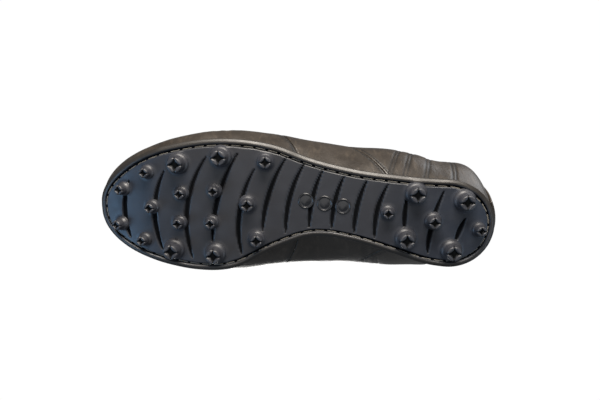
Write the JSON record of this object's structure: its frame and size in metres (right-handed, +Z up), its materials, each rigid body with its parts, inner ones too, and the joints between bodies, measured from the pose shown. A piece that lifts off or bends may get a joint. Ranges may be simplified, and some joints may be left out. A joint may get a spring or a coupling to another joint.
{
  "type": "soccer cleat",
  "caption": "Black leather soccer cleat for the left foot, with a stitched dark studded outsole, padded collar, threaded lace and a tongue that swings inwards.",
  "frame": {"origin": "on the ground, under the middle of the shoe's box", "axes": "+X to the toe, +Y to the outer (lateral) side, +Z up"},
  "size_m": [0.2875, 0.1051, 0.1105],
  "materials": {
    "sole_tpu": "satin moulded TPU",
    "stud_tpu": "satin moulded TPU, worn tips",
    "disc_plastic": "matte",
    "upper_leather": "grained, semi-matte",
    "lining_fabric": "woven",
    "heel_suede": "napped",
    "pad_foam": "open cell foam",
    "thread": "waxed polyester thread",
    "steel": "brushed",
    "board": "cellulose board",
    "stiffener": "thermoplastic sheet",
    "sockliner_fabric": "knitted cover on foam",
    "eyelet_metal": "black enamel",
    "lace_fabric": "flat woven polyester"
  },
  "bodies": {
    "root": {"outsole": "sole_tpu", "studs_large": "stud_tpu", "studs_medium": "stud_tpu", "studs_small": "stud_tpu", "arch_discs": "disc_plastic", "sole_thread": "thread", "shank": "steel", "bottom_filler": "board", "lasting_margin": "upper_leather", "insole_board": "board", "sockliner": "sockliner_fabric", "toe_puff": "stiffener", "heel_counter": "stiffener", "vamp": "upper_leather", "midpanel_lateral": "upper_leather", "midpanel_medial": "upper_leather", "quarter_lateral": "upper_leather", "quarter_medial": "upper_leather", "backstay": "upper_leather", "vamp_lining": "lining_fabric", "quarter_lining_lateral": "lining_fabric", "quarter_lining_medial": "lining_fabric", "heel_lining": "heel_suede", "collar_foam": "pad_foam", "collar_lining": "lining_fabric", "eyestay_lateral": "stiffener", "eyestay_medial": "stiffener", "eyelets": "eyelet_metal", "lace": "lace_fabric"},
    "tongue": {"tongue_leather": "upper_leather", "tongue_foam": "pad_foam", "tongue_lining": "lining_fabric"}
  },
  "joints": [
    {"name": "tongue_hinge", "type": "hinge", "parent": "root", "child": "tongue", "pos_m": [0.0481, -0.0034, 0.0623], "axis": [0, -1, 0], "range_deg": [0, 12], "stiffness_Nm_per_rad": 0.5}
  ]
}
